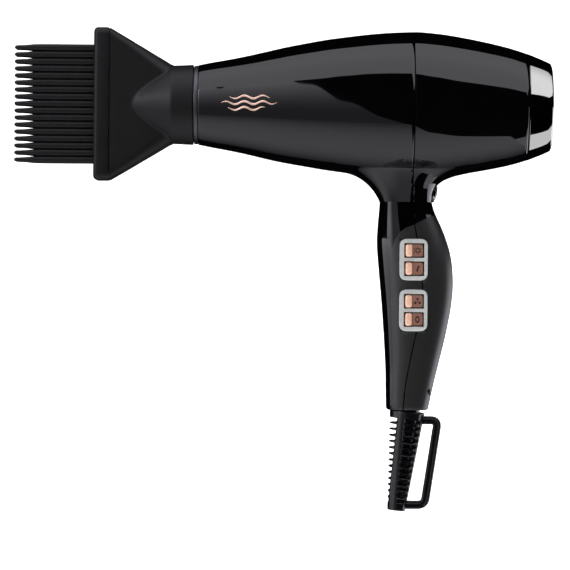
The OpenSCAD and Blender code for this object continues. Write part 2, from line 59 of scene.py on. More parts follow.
def spline(points):
    """A smooth function through (x, y) points, which run in one direction of x."""
    points = sorted(points)
    xs, ys = [p[0] for p in points], [p[1] for p in points]
    slopes = []
    for i in range(len(xs)):
        a, b = max(i - 1, 0), min(i + 1, len(xs) - 1)
        slopes.append((ys[b] - ys[a]) / (xs[b] - xs[a]))

    def at(x):
        if x <= xs[0]:
            return ys[0] + slopes[0] * (x - xs[0])
        if x >= xs[-1]:
            return ys[-1] + slopes[-1] * (x - xs[-1])
        i = max(k for k in range(len(xs) - 1) if xs[k] <= x)
        h = xs[i + 1] - xs[i]
        t = (x - xs[i]) / h
        return (
            (2 * t**3 - 3 * t**2 + 1) * ys[i]
            + (t**3 - 2 * t**2 + t) * h * slopes[i]
            + (3 * t**2 - 2 * t**3) * ys[i + 1]
            + (t**3 - t**2) * h * slopes[i + 1]
        )

    return at


def chain(bm, points, closed=False):
    """Vertices along points, joined by edges."""
    verts = [bm.verts.new(p) for p in points]
    ends = list(zip(verts, verts[1:])) + ([(verts[-1], verts[0])] if closed else [])
    return verts + [bm.edges.new(pair) for pair in ends]


def turned(profile, steps=128, closed=True, centre=(0, 0, 0)):
    """A body of revolution round the air axis from (place, radius) points."""
    bm = bmesh.new()
    geom = chain(bm, [(x + centre[0], centre[1], r + centre[2]) for x, r in profile], closed)
    bmesh.ops.spin(bm, geom=geom, cent=centre, axis=(1, 0, 0), angle=2 * math.pi, steps=steps,
                   use_merge=True, use_duplicate=False)
    bmesh.ops.remove_doubles(bm, verts=bm.verts, dist=1e-3)
    bmesh.ops.recalc_face_normals(bm, faces=bm.faces)
    return bm


def rounded(points, radius, steps=4):
    """A closed outline with its corners rounded off."""
    out, n = [], len(points)
    for i, p in enumerate(points):
        p = Vector(p)
        r = radius[i] if isinstance(radius, (list, tuple)) else radius
        a, b = Vector(points[i - 1]) - p, Vector(points[(i + 1) % n]) - p
        cut = min(r, 0.45 * a.length, 0.45 * b.length)
        if cut < 1e-4:
            out.append(p)
            continue
        start, end = p + a.normalized() * cut, p + b.normalized() * cut
        for k in range(steps + 1):
            t = k / steps
            out.append(start * (1 - t) ** 2 + p * 2 * t * (1 - t) + end * t * t)
    return [tuple(p) for p in out]


def soften(bm, width, angle=30, segments=2, only=None):
    """Bevels the edges that turn by more than angle."""
    edges = [e for e in bm.edges
             if len(e.link_faces) == 2 and e.calc_face_angle(0) > math.radians(angle)
             and (only is None or only(e))]
    bmesh.ops.bevel(bm, geom=edges, offset=width, offset_type="OFFSET", segments=segments,
                    profile=0.5, affect="EDGES", clamp_overlap=True, material=-1)


def grow_rings(bm, edges, places):
    """Extrudes a loop of edges once for each function in places, which gives a vertex its new place."""
    for place in places:
        out = bmesh.ops.extrude_edge_only(bm, edges=edges)["geom"]
        fresh = {g for g in out if isinstance(g, bmesh.types.BMVert)}
        edges = [g for g in out if isinstance(g, bmesh.types.BMEdge)
                 and g.verts[0] in fresh and g.verts[1] in fresh]
        moves = []
        for v in fresh:
            old = next(e.other_vert(v) for e in v.link_edges if e.other_vert(v) not in fresh)
            moves.append((v, old))
        column = bm.verts.layers.float.get("column")
        for v, old in moves:
            v[column] = old[column]
            v.co = place(old[column], old.co.copy())
    return edges


def join(target, source, matrix=None):
    """Adds source's mesh to target."""
    mesh = bpy.data.meshes.new("part")
    source.to_mesh(mesh)
    source.free()
    if matrix is not None:
        mesh.transform(matrix)
    target.from_mesh(mesh)
    bpy.data.meshes.remove(mesh)


def finish_piece(bm, name, materials, body, replaces, sharp=35, wall=0.0):
    """Turns a millimetre bmesh into an object that rides on a CAD body."""
    for f in bm.faces:
        f.smooth = True
    for e in bm.edges:
        if len(e.link_faces) == 2 and e.calc_face_angle(0) > math.radians(sharp):
            e.smooth = False
    bmesh.ops.scale(bm, vec=(MM, MM, MM), verts=bm.verts)
    mesh = bpy.data.meshes.new(name)
    bm.to_mesh(mesh)
    bm.free()
    piece = bpy.data.objects.new(name, mesh)
    scene.collection.objects.link(piece)
    for m in materials if isinstance(materials, list) else [materials]:
        mesh.materials.append(m)
    if wall:
        shell = piece.modifiers.new("wall", "SOLIDIFY")
        shell.thickness = wall * MM
        shell.offset = -1
        shell.use_rim = True
    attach(piece, body)
    if replaces:
        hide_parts(*replaces)


# ---------------------------------------------------------------- materials


def linear(code):
    """An sRGB hex colour as linear light."""
    parts = [int(code[i:i + 2], 16) / 255 for i in (1, 3, 5)]
    return [c / 12.92 if c <= 0.04045 else ((c + 0.055) / 1.055) ** 2.4 for c in parts] + [1.0]


def feed(tree, node, inputs):
    """Gives a node its inputs: a socket is joined to one, anything else is set on it."""
    for key, value in inputs.items():
        if isinstance(value, bpy.types.NodeSocket):
            tree.links.new(value, node.inputs[key])
        else:
            node.inputs[key].default_value = value


def add(tree, kind, inputs, **settings):
    """Adds a node with its settings and its inputs."""
    node = tree.nodes.new("ShaderNode" + kind)
    for key, value in settings.items():
        setattr(node, key, value)
    feed(tree, node, inputs)
    return node


def start(name, values, mottles=()):
    """A material: its Principled shader, its tree, millimetre coordinates, and its mottles.

    Each mottle is a noise pattern: (size in mm, detail, roughness).
    """
    mat = bpy.data.materials.new(name)
    mat.use_nodes = True
    tree = mat.node_tree
    shader = next(n for n in tree.nodes if n.type == "BSDF_PRINCIPLED")
    feed(tree, shader, values)
    coord = add(tree, "TexCoord", {})
    place = add(tree, "Mapping", {"Vector": coord.outputs["Object"], "Scale": [1 / MM] * 3}).outputs[0]
    patterns = [add(tree, "TexNoise", {"Vector": place, "Scale": 1 / size, "Detail": detail,
                                       "Roughness": rough}).outputs[0]
                for size, detail, rough in mottles]
    return mat, tree, shader, place, patterns


def surface(tree, shader, shade, colours, gloss, roughs, height, depth_mm, span=(0.3, 0.7)):
    """Patterns drive the shader: shade mixes two colours, gloss sets roughness, height gives relief.

    span is the part of gloss's range that is spread over the two roughnesses.
    """
    dark, light = (linear(code) for code in colours)
    colour = add(tree, "Mix", {0: shade, 6: dark, 7: light}, data_type="RGBA")
    rough = add(tree, "MapRange", {"Value": gloss, "From Min": span[0], "From Max": span[1],
                                   "To Min": roughs[0], "To Max": roughs[1]})
    bump = add(tree, "Bump", {"Height": height, "Distance": depth_mm * MM, "Strength": 1.0})
    feed(tree, shader, {"Base Color": colour.outputs[2], "Roughness": rough.outputs[0],
                        "Normal": bump.outputs[0]})


def plastic(name, dark, light, rough, swing=0.05, grain_mm=0.6, depth_mm=0.01, ior=1.5, sheen=0.5):
    """A moulded plastic: mottled colour, uneven gloss and a fine eroded-tool grain."""
    mat, tree, shader, _, (broad, smears, grain) = start(
        name, {"Metallic": 0.0, "IOR": ior, "Specular IOR Level": sheen},
        [(9.0, 3.0, 0.5), (3.0, 4.0, 0.5), (grain_mm, 3.0, 0.6)])
    surface(tree, shader, broad, (dark, light), smears, (rough - swing, rough + swing), grain, depth_mm)
    return mat


def metal(name, dark, light, rough, swing=0.04, grain_mm=0.5, depth_mm=0.004, along=(1, 1, 1)):
    """A bare metal. along stretches the grain that way, as drawing or turning does."""
    mat, tree, shader, place, (broad,) = start(name, {"Metallic": 1.0}, [(6.0, 3.0, 0.5)])
    drawn = add(tree, "Mapping", {"Vector": place, "Scale": along}).outputs[0]
    grain = add(tree, "TexNoise", {"Vector": drawn, "Scale": 1 / grain_mm, "Detail": 3.0,
                                   "Roughness": 0.6}).outputs[0]
    surface(tree, shader, broad, (dark, light), grain, (rough - swing, rough + swing), grain, depth_mm)
    return mat


def housing_plastic():
    """Black ABS: polished on the barrel, soft-touch lacquer on the grip, so it turns from mirror to satin."""
    mat, tree, shader, _, (deep, dusty, smears, mist, flow, spray) = start(
        "black_ABS_polished_with_soft_touch_grip", {"Metallic": 0.0, "IOR": 1.55},
        [(12.0, 3.0, 0.5), (5.0, 4.0, 0.5), (14.0, 4.0, 0.5), (3.0, 4.0, 0.5), (9.0, 0.0, 0.5),
         (0.5, 2.0, 0.5)])
    grip = add(tree, "Attribute", {}, attribute_name="grip_edge").outputs["Fac"]
    soft = add(tree, "MapRange", {"Value": grip, "From Min": -0.35, "From Max": 0.35},
               interpolation_type="SMOOTHSTEP").outputs[0]
    polished, lacquer = (
        add(tree, "Mix", {0: shade, 6: linear(dark), 7: linear(light)}, data_type="RGBA").outputs[2]
        for shade, dark, light in ((deep, "#020203", "#040405"), (dusty, "#1A1A1B", "#202021")))
    colour = add(tree, "Mix", {0: soft, 6: polished, 7: lacquer}, data_type="RGBA")
    # The joint of the shells gets painted shade: no colour and no shine within 0.3 mm of it, so it shows as a
    # dark line in place of the shadow in its groove.
    joint = add(tree, "Attribute", {}, attribute_name="joint_gap").outputs["Fac"]
    clear = add(tree, "MapRange", {"Value": joint, "From Min": 0.28, "From Max": 0.42}).outputs[0]
    joint_painted_shade = add(tree, "Mix", {0: clear, 6: (0, 0, 0, 1), 7: colour.outputs[2]}, data_type="RGBA")
    shine = add(tree, "Math", {0: clear, 1: 0.5}, operation="MULTIPLY")
    smear, satin = (
        add(tree, "MapRange", {"Value": gloss, "From Min": 0.3, "From Max": 0.7, "To Min": low,
                               "To Max": high}).outputs[0]
        for gloss, low, high in ((smears, 0.03, 0.055), (mist, 0.34, 0.40)))
    rough = add(tree, "Mix", {0: soft, 2: smear, 3: satin})
    # Flow ripple of the mould on the polished part, 9 mm long; fine spray texture, 0.5 mm, on the grip.
    ripple = add(tree, "Math", {0: flow, 1: 0.2}, operation="MULTIPLY")
    height = add(tree, "Mix", {0: soft, 2: ripple.outputs[0], 3: spray})
    bump = add(tree, "Bump", {"Height": height.outputs[0], "Distance": 0.006 * MM, "Strength": 1.0})
    feed(tree, shader, {"Base Color": joint_painted_shade.outputs[2], "Specular IOR Level": shine.outputs[0],
                        "Roughness": rough.outputs[0], "Normal": bump.outputs[0]})
    return mat


GLOSS = housing_plastic()
# Polished black ABS without a grip zone, for the button and the screw caps.
CAP_BLACK = plastic("black_ABS_polished", "#08080A", "#0D0D10", 0.10, 0.02, 4.0, 0.004, 1.55)
# Glass-filled nylon, moulded in an eroded tool: matt, faintly mottled, soft grey sheen.
COMB = plastic("black_nylon_eroded", "#0B0B0C", "#111112", 0.45, 0.05, 0.45, 0.02, 1.5, 0.26)
# Heat-resistant resin of the outlet: the same, a little smoother.
RESIN = plastic("black_PBT_moulded", "#121214", "#19191B", 0.38, 0.05, 0.5, 0.012, 1.53)
# Light grey ABS with a soft gloss.
BEZEL = plastic("light_grey_ABS_satin", "#AFB1B2", "#BABCBC", 0.28, 0.04, 0.5, 0.006, 1.5)
# Soft PVC: black, waxy, so wide highlights and a slight bloom.
RUBBER = plastic("black_soft_PVC", "#08080A", "#0E0E10", 0.20, 0.04, 0.8, 0.006, 1.54)
GRILLE = plastic("black_ABS_fine_matt", "#0E0E10", "#151517", 0.42, 0.05, 0.4, 0.012)
DARK_PART = plastic("black_nylon_technical", "#18181A", "#222225", 0.50, 0.06, 0.6, 0.02)
FAN_WHITE = plastic("natural_nylon_moulded", "#CFCABC", "#DAD6C9", 0.40, 0.05, 0.7, 0.01)
CERAMIC = plastic("steatite_ceramic_unglazed", "#D6D0C2", "#E4DFD3", 0.62, 0.06, 0.4, 0.02)
SILICONE = plastic("translucent_silicone", "#C9C2B2", "#D6D0C3", 0.45, 0.05, 0.8, 0.01, 1.43)
CARBON = plastic("pressed_graphite", "#1A1A1C", "#26262A", 0.55, 0.08, 0.3, 0.02, 1.6)
WIRE_SKIN = plastic("silicone_insulation_grey", "#57524F", "#6A645F", 0.42, 0.05, 0.8, 0.01, 1.43)
CHROME = metal("chromium_plate_polished", "#B0AFA9", "#B8B7B1", 0.045, 0.01, 6.0, 0.0005)
TRIM = metal("grey_lacquer_over_plating", "#55555A", "#606064", 0.42, 0.05, 0.6, 0.003)
STEEL = metal("zinc_plated_steel", "#9EA0A4", "#B2B4B8", 0.32, 0.06, 0.5, 0.006, (1, 1, 4))
MESH_STEEL = metal("woven_steel_wire", "#77787C", "#8E9094", 0.34, 0.06, 0.4, 0.006)
IRON = metal("silicon_iron_laminations", "#6E7074", "#85878B", 0.42, 0.08, 0.5, 0.02, (2.0, 0.1, 0.1))
BRASS = metal("brass_stamped", "#B08A48", "#C59C57", 0.30, 0.06, 0.6, 0.006)
BRONZE = metal("sintered_bronze", "#86633A", "#9B7545", 0.48, 0.08, 0.3, 0.02)
HEAT_WIRE = metal("oxidised_resistance_wire", "#4D4742", "#6B6259", 0.48, 0.08, 0.4, 0.01)


def winding_copper():
    """Enamelled copper wire, wound: parallel turns 0.6 mm apart under a clear amber enamel."""
    mat, tree, shader, place, _ = start("enamelled_copper_wound", {"Metallic": 1.0, "Coat Weight": 0.5})
    turns = add(tree, "TexWave", {"Vector": place, "Scale": 1 / 0.6 / 3.14, "Distortion": 0.4,
                                  "Detail": 1.0}, bands_direction="X").outputs["Fac"]
    # The colour follows the relief of the turns: darker in the grooves between them as painted shade, lighter
    # on their crowns as painted light.
    surface(tree, shader, turns, ("#7C3A1C", "#C6703C"), turns, (0.34, 0.24), turns, 0.15, (0, 1))
    return mat


def mica_sheet():
    """Built-up mica: amber flakes about 3 mm across, pearly in patches."""
    mat, tree, shader, place, _ = start("built_up_mica", {"Metallic": 0.15, "IOR": 1.58})
    flakes = add(tree, "TexVoronoi", {"Vector": place, "Scale": 1 / 3.0}, feature="F1").outputs["Distance"]
    surface(tree, shader, flakes, ("#8F7444", "#CDB27C"), flakes, (0.28, 0.5), flakes, 0.03, (0, 1))
    return mat


def copper_lacquer(name, dark, light, rough, sparkle, metallic=0.75):
    """Rose-copper lacquer over ABS, under a thin clear coat.

    Its metal flakes are finer than shows, so they are drawn 0.25 mm across.
    """
    mat, tree, shader, place, (patches,) = start(
        name, {"Metallic": metallic, "Coat Weight": 0.35, "Coat Roughness": 0.12}, [(2.2, 3.0, 0.5)])
    flakes = add(tree, "TexVoronoi", {"Vector": place, "Scale": 1 / 0.25}, feature="F1").outputs["Distance"]
    surface(tree, shader, patches, (dark, light), flakes, (rough - sparkle, rough + sparkle), flakes,
            0.004, (0, 1))
    return mat


COPPER = winding_copper()
MICA = mica_sheet()
# The ridge and the pad are one rose-copper lacquer in two copies: the ridge's is painted lighter as painted
# light on its raised face, the pad's darker as painted shade where it is sunk.
KEY_RIDGE_PAINTED_LIT = copper_lacquer("rose_copper_lacquer_painted_lit", "#F2BEA2", "#FBD0B6", 0.26, 0.06, 0.25)
KEY_PAD_PAINTED_SHADE = copper_lacquer("rose_copper_lacquer_painted_shade", "#8F6456", "#9C6F60", 0.42, 0.08, 0.3)
# Rose-gold foil, hot stamped on the barrel: bright, with the faint grain of the film.
FOIL = copper_lacquer("rose_gold_hot_foil", "#E6B59E", "#F6D3C2", 0.22, 0.05)
MARKS = plastic("dark_pad_print", "#1A100D", "#241713", 0.55, 0.05, 0.4, 0.002)

# ---------------------------------------------------------------- shape of the casing

# Along the air axis: front end of the barrel, joint of its shells, and its rear end.
SPIGOT, SEAM, CAP = 19.0, 147.4, 216.0
# The bezels with their two keys each, on the -Y side of the handle.
BEZEL_X, BEZEL_WIDE, BEZEL_HIGH = 148.1, 16.8, 24.8
UPPER_BEZEL, LOWER_BEZEL = -91.9, -122.1
KEY_STEP = 5.4  # from a bezel's middle to the middle of each of its keys

# Radius along the barrel.
barrel_radius = spline([(19, 23.9), (23.5, 24.8), (29.5, 25.95), (35.5, 27.0), (47.5, 29.4), (59.5, 32.2),
                        (71.5, 35.0), (83.5, 37.4), (95.5, 39.6), (107.5, 41.3), (119.5, 42.8),
                        (131.5, 43.9), (143.5, 44.5), (151, 44.6), (158, 44.1), (167.5, 43.0),
                        (179.5, 41.0), (191.5, 38.6), (203.5, 35.8), (209.5, 34.1), (216, 31.9)])
# The underside is a little flatter than the rest.
underside = spline([(19, 0), (60, 0.0), (75, 0.5), (95, 1.0), (120, 1.2), (150, 1.2), (180, 0.9),
                    (200, 0.4), (216, 0.0)])


def barrel_point(x, angle):
    """A point of the barrel's skin; angle is measured from straight down, towards -Y."""
    low = max(0.0, math.cos(angle)) ** 3
    r = barrel_radius(x) - max(0.0, underside(x)) * low
    return Vector((x, -r * math.sin(angle), -r * math.cos(angle)))


def on_barrel(p):
    return barrel_point(p.x, math.atan2(-p.y, -p.z))


# Side view of the handle below its crease.
CREASE = -57.5
handle_front = spline([(-57.5, 128.1), (-61, 127.9), (-64.6, 127.6), (-71.8, 127.0), (-80.2, 126.6),
                       (-86.2, 126.8), (-97, 127.7), (-107.8, 128.7), (-118.6, 129.7), (-133, 130.8),
                       (-143.8, 131.5), (-158.2, 132.3), (-170, 132.5), (-181.9, 132.8)])
handle_rear = spline([(-57.5, 159.3), (-60.8, 160.1), (-64.4, 161.4), (-68, 163.1), (-71.6, 164.8),
                      (-75.2, 166.3), (-78.8, 167.7), (-85.9, 170.0), (-93.1, 171.5), (-100.3, 172.2),
                      (-105.7, 172.4), (-111.1, 172.2), (-118.3, 171.5), (-125.5, 170.4),
                      (-139.9, 167.5), (-154.4, 164.0), (-168.8, 160.6), (-181.9, 157.8)])
handle_half = spline([(-57.5, 15.0), (-65, 15.3), (-74, 16.0), (-86.5, 16.7), (-98, 17.0),
                      (-110, 16.9), (-124, 16.4), (-140, 15.4), (-158, 14.0), (-172, 13.0),
                      (-181.9, 12.4)])
handle_blunt = spline([(-57.5, 2.9), (-75, 2.6), (-100, 2.45), (-181.9, 2.45)])
# Joint line of the two shells, down the handle.
joint_line = spline([(-52, 147.4), (-59, 147.6), (-71, 148.6), (-78.3, 150.1), (-90, 152.4),
                     (-106.5, 153.6), (-120, 152.6), (-134.7, 150.2), (-149.1, 147.2),
                     (-168.4, 143.8), (-182.2, 142.6)])


def joint_x(z):
    return SEAM if z > -52 else joint_line(z)


def blunt_oval(cx, a, b, n, t):
    c, s = math.cos(t), math.sin(t)
    return (cx + a * math.copysign(abs(c) ** (2 / n), c), b * math.copysign(abs(s) ** (2 / n), s))


def even_angles(a, b, n, count=720):
    """Gives the angle of a blunt oval for a share of the way round it."""
    pts = [blunt_oval(0, a, b, n, 2 * math.pi * k / count) for k in range(count + 1)]
    run = [0.0]
    for p, q in zip(pts, pts[1:]):
        run.append(run[-1] + math.dist(p, q))

    def angle(share):
        target, low, high = share % 1.0 * run[-1], 0, count
        while high - low > 1:
            mid = (low + high) // 2
            low, high = (mid, high) if run[mid] <= target else (low, mid)
        return 2 * math.pi * (low + (target - run[low]) / (run[high] - run[low])) / count

    return angle


# Where the flare leaves the barrel, from above: middle, half length, half width and bluntness.
FOOT = (146.0, 40.0, 22.5, 2.9)
foot_angle = even_angles(*FOOT[1:])
crease_angle = even_angles(15.6, 15.0, 2.9)


def foot_point(share):
    """Where the flare of the handle leaves the barrel."""
    x, y = blunt_oval(*FOOT, foot_angle(share))
    angle = math.asin(clamp(-y / barrel_radius(x), -1, 1))
    return barrel_point(x, angle)


def handle_point(share, z, inset=0.0):
    front, rear = handle_front(z), handle_rear(z)
    x, y = blunt_oval((front + rear) / 2, (rear - front) / 2 - inset, handle_half(z) - inset,
                      handle_blunt(z), crease_angle(share))
    return Vector((x, y, z))


def flare_point(share, t):
    """A point of the flare, from t = 0 at the barrel to t = 1 at the crease."""
    top, low = foot_point(share), handle_point(share, CREASE)
    c = math.cos(2 * math.pi * share)
    fore, aft = smooth(0.15, 0.95, -c), smooth(0.15, 0.95, c)
    side = 1 - fore - aft
    inward = Vector((fore - aft, -math.copysign(side, top.y) if side > 0.01 else 0, 0))
    slope = Vector((top.x + 3 * inward.x, top.y + 3 * inward.y, top.z))
    along = (on_barrel(slope) - top).normalized()
    reach = 12.5 * fore + 20 * aft + 1.0 * side
    up = Vector((-0.42 * fore + 0.02 * aft, 0.34 * math.copysign(side, top.y), 1)).normalized()
    rise = 7.0 * fore + 12 * aft + 6.0 * side
    a, b = top + along * reach, low + up * rise
    return top * (1 - t) ** 3 + a * 3 * t * (1 - t) ** 2 + b * 3 * t * t * (1 - t) + low * t**3


# Edge of the soft-touch grip, side view: it arches over the keys and runs down the front.
GRIP_EDGE = [(172, -58), (165, -62.5), (159.3, -65.7), (153.5, -68.2), (148.4, -71.0), (143.3, -73.0),
             (139.8, -75.7), (136.9, -80.0), (135.2, -85.8), (134.6, -91.6), (134.8, -110),
             (135.6, -130), (136.2, -150), (136.4, -190)]


def grip_distance(x, z):
    """Distance inside the grip zone, in mm; negative outside it."""
    best, side = 1e9, 1
    for (x0, z0), (x1, z1) in zip(GRIP_EDGE, GRIP_EDGE[1:]):
        dx, dz = x1 - x0, z1 - z0
        t = clamp(((x - x0) * dx + (z - z0) * dz) / (dx * dx + dz * dz))
        d = math.hypot(x - x0 - t * dx, z - z0 - t * dz)
        if d < best:
            best, side = d, (x - x0) * dz - (z - z0) * dx
    return -math.copysign(best, side)


def casing_mesh():
    """Barrel and handle as one skin, before it is split into its two shells."""
    steps, rows = 144, 80
    bm = bmesh.new()
    column = bm.verts.layers.float.new("column")
    lip = rounded([(SPIGOT, 21.15), (SPIGOT, 23.9), (SPIGOT + 2.4, 24.38)], [0, 0.6, 0])
    xs = [SPIGOT + 2.4 + (CAP - SPIGOT - 2.4) * k / rows for k in range(rows + 1)]
    geom = chain(bm, [(x, 0, r) for x, r in lip[:-1]] + [(x, 0, barrel_radius(x)) for x in xs])
    bmesh.ops.spin(bm, geom=geom, cent=(0, 0, 0), axis=(1, 0, 0), angle=2 * math.pi, steps=steps,
                   use_merge=True, use_duplicate=False)
    for v in bm.verts:
        if v.co.x > SPIGOT + 2.5:
            v.co = on_barrel(v.co)
    # The flare covers these faces of the barrel's underside.
    hidden = [f for f in bm.faces if 99 < f.calc_center_median().x < 193
              and f.calc_center_median().z < 0 and abs(f.calc_center_median().y) < 27]
    bmesh.ops.delete(bm, geom=hidden, context="FACES")
    rim = [e for e in bm.edges if e.is_boundary and 90 < (e.verts[0].co.x + e.verts[1].co.x) / 2 < 200
           and e.verts[0].co.z < 0]
    # Each vertex of the rim gets its share of the way round, from the rear, towards +Y.
    here = max((v for e in rim for v in e.verts if abs(v.co.y) < 0.5), key=lambda v: v.co.x)
    around, last = [here], None
    while True:
        ways = [e.other_vert(around[-1]) for e in around[-1].link_edges if e in rim]
        ways = [v for v in ways if v != last]
        step = max(ways, key=lambda v: v.co.y) if last is None else ways[0]
        last = around[-1]
        if step == around[0]:
            break
        around.append(step)
    lengths = [0.0]
    for a, b in zip(around, around[1:] + around[:1]):
        lengths.append(lengths[-1] + (a.co - b.co).length)
    for v, run in zip(around, lengths):
        v[column] = run / lengths[-1]
    starts = {round(v[column], 6): v.co.copy() for v in around}

    def apron(t):
        def place(share, old):
            begin = starts[round(share, 6)]
            p = begin.lerp(foot_point(share), t)
            return on_barrel(p) if t < 1 else foot_point(share)
        return place

    rings = [apron(t) for t in (0.3, 0.6, 0.82, 1.0)]
    rings += [lambda s, old, t=t: flare_point(s, t) for t in
              (0.04, 0.09, 0.15, 0.22, 0.3, 0.38, 0.46, 0.54, 0.62, 0.7, 0.78, 0.86, 0.93, 1.0)]
    depth = CREASE
    while depth > -179.5:
        depth -= 2.2
        rings.append(lambda s, old, z=max(depth, -179.7): handle_point(s, z))
    for inset, z in ((0.15, -180.7), (0.5, -181.4), (1.1, -181.8), (1.9, -181.9), (4.4, -181.9)):
        rings.append(lambda s, old, i=inset, z=z: Vector((*handle_point(s, -179.7, i).xy, z)))
    grow_rings(bm, rim, rings)
    bmesh.ops.recalc_face_normals(bm, faces=bm.faces)
    return bm


def warp(bm, sign):
    """Moves the skin so that its joint line stands straight, or back."""
    for v in bm.verts:
        v.co.x += sign * (joint_x(v.co.z) - SEAM)


SHOT_AT, SHOT_TILT = Vector((160.9, 0, -52.6)), math.radians(14)
SHOT_OUT = Vector((math.cos(SHOT_TILT), 0, -math.sin(SHOT_TILT)))


def shell(side):
    """One of the two shells: side -1 is the front one, 1 the rear one."""
    bm = casing_mesh()
    warp(bm, -1)
    bmesh.ops.bisect_plane(bm, geom=bm.verts[:] + bm.edges[:] + bm.faces[:], dist=1e-4,
                           plane_co=(SEAM + side * 0.09, 0, 0), plane_no=(side, 0, 0),
                           clear_inner=True)
    warp(bm, 1)
    gone = []
    for f in bm.faces:
        c = f.calc_center_median()
        under_bezel = c.y < 0 and abs(c.x - BEZEL_X) < BEZEL_WIDE / 2 - 1 and any(
            abs(c.z - z) < BEZEL_HIGH / 2 - 1 for z in (UPPER_BEZEL, LOWER_BEZEL))
        off = c - SHOT_AT
        under_button = c.x > 155 and (off - SHOT_OUT * off.dot(SHOT_OUT)).length < 4.2
        if under_bezel or under_button:
            gone.append(f)
    bmesh.ops.delete(bm, geom=gone, context="FACES")
    zone = bm.verts.layers.float.new("grip_edge")
    gap = bm.verts.layers.float.new("joint_gap")
    for v in bm.verts:
        v[zone] = grip_distance(v.co.x, v.co.z) if v.co.z < -50 else -9
        # Distance from the joint, which the material reads to paint shade along it.
        v[gap] = abs(v.co.x - joint_x(v.co.z))
    for e in bm.edges:
        if all(abs(v.co.z - CREASE) < 0.02 for v in e.verts):
            e.smooth = False
    return bm


for side, name in ((-1, "front_housing"), (1, "rear_housing")):
    finish_piece(shell(side), name + "_shell", GLOSS, "housing", (name,), 24, 1.9)

# ---------------------------------------------------------------- collar, trim and rear cap

finish_piece(turned(rounded([(16.45, 21.05), (16.45, 23.45), (18.95, 23.65), (18.95, 21.05)],
                            [0.1, 0.6, 0.35, 0.1])),
             "trim_ring", TRIM, "housing", ("outlet_trim_ring",))

cap_profile = [(216.35, 31.95), (218.5, 31.1), (221, 30.1), (224, 28.9),
               (227, 27.6), (229.2, 26.55), (229.9, 26.0), (230.3, 24.9), (230.25, 23.7),
               (229.6, 23.5), (228.8, 23.55), (226.4, 25.3), (222.5, 27.2), (219.4, 28.2),
               (211, 28.2), (211, 29.6), (216.3, 29.6), (216.3, 31.4)]
finish_piece(turned(cap_profile, 160), "rear_cap_shell", CHROME, "rear_cap", ("rear_cap_ring",),
             40)


def cap_grille():
    """Concentric rings across the intake, domed a little, on six spokes."""
    rim, dome = 23.4, 0.9
    bm = bmesh.new()
    for r in (5.0, 9.0, 13.0, 17.0, 20.6):
        x = 228.6 + dome * (1 - (r / rim) ** 2)
        bar = [(x - 0.9, r - 0.6), (x + 0.75, r - 0.5), (x + 0.75, r + 0.5), (x - 0.9, r + 0.6)]
        join(bm, turned(rounded(bar, 0.3, 2), 96))
    join(bm, turned(rounded([(228.1, 22.2), (230.1, 22.2), (230.1, rim), (228.1, rim)], 0.3, 2), 96))
    join(bm, turned([(228.2, 0), (230.4, 0), (230.35, 1.2), (230.0, 2.2), (229.4, 2.6), (228.2, 2.6)], 48))
    for k in range(6):
        one = bmesh.new()
        bmesh.ops.create_cube(one, size=1)
        bmesh.ops.scale(one, vec=(1.4, 1.1, 20.4), verts=one.verts)
        long_edges = [e for e in one.edges if abs((e.verts[0].co - e.verts[1].co).z) > 5]
        bmesh.ops.subdivide_edges(one, edges=long_edges, cuts=6)
        soften(one, 0.25, 60)
        bmesh.ops.translate(one, verts=one.verts, vec=(228.2, 0, 12.4))
        for v in one.verts:
            v.co.x += dome * (1 - (v.co.z / rim) ** 2)
        join(bm, one, Matrix.Rotation(math.radians(60 * k + 30), 4, "X"))
    return bm


finish_piece(cap_grille(), "intake_grille", GRILLE, "rear_cap", ("rear_cap_grille",))

# ---------------------------------------------------------------- keys


WINDOW_X = 148.5
BEZEL_Y, PAD_Y = -18.0, -17.4  # front of a bezel, and of a key's sunk pad
MARK_X = 150.6


def bezel(z):
    """A rounded plate with two windows, its rim rolled over."""
    bm = bmesh.new()
    corners = [(BEZEL_X + a * BEZEL_WIDE / 2, z + b * BEZEL_HIGH / 2)
               for a, b in ((-1, -1), (1, -1), (1, 1), (-1, 1))]
    chain(bm, [(a, BEZEL_Y, b) for a, b in rounded(corners, 4.6, 5)], closed=True)
    bmesh.ops.contextual_create(bm, geom=bm.edges[:])
    cuts = [((WINDOW_X + s * 5.9, 0, 0), (1, 0, 0)) for s in (-1, 1)]
    cuts += [((0, 0, z + s * KEY_STEP + q * 4.3), (0, 0, 1)) for s in (-1, 1) for q in (-1, 1)]
    for co, no in cuts:
        bmesh.ops.bisect_plane(bm, geom=bm.verts[:] + bm.edges[:] + bm.faces[:], dist=1e-4,
                               plane_co=co, plane_no=no)
    windows = [f for f in bm.faces if abs(f.calc_center_median().x - WINDOW_X) < 5.4
               and any(abs(f.calc_center_median().z - z - s * KEY_STEP) < 3.8 for s in (-1, 1))]
    bmesh.ops.delete(bm, geom=windows, context="FACES")
    walls = bmesh.ops.extrude_edge_only(bm, edges=[e for e in bm.edges if e.is_boundary])["geom"]
    bmesh.ops.translate(bm, verts=[g for g in walls if isinstance(g, bmesh.types.BMVert)], vec=(0, 3.4, 0))
    bmesh.ops.recalc_face_normals(bm, faces=bm.faces)
    # The open skin may be turned inside out, so its front is made to face the keys' side.
    front = max(bm.faces, key=lambda f: f.calc_area() if abs(f.normal.y) > 0.9 else 0)
    if front.normal.y > 0:
        bmesh.ops.reverse_faces(bm, faces=bm.faces)
    soften(bm, 0.55, 50, 3, lambda e: all(v.co.y < BEZEL_Y + 0.1 for v in e.verts))
    return bm


def block(low, high, rim, only=None):
    """A box from its corners, with bevelled edges."""
    bm = bmesh.new()
    bmesh.ops.create_cube(bm, size=1)
    low, high = Vector(low), Vector(high)
    bmesh.ops.scale(bm, vec=high - low, verts=bm.verts)
    bmesh.ops.translate(bm, verts=bm.verts, vec=(low + high) / 2)
    soften(bm, rim, 30, 4, only)
    return bm


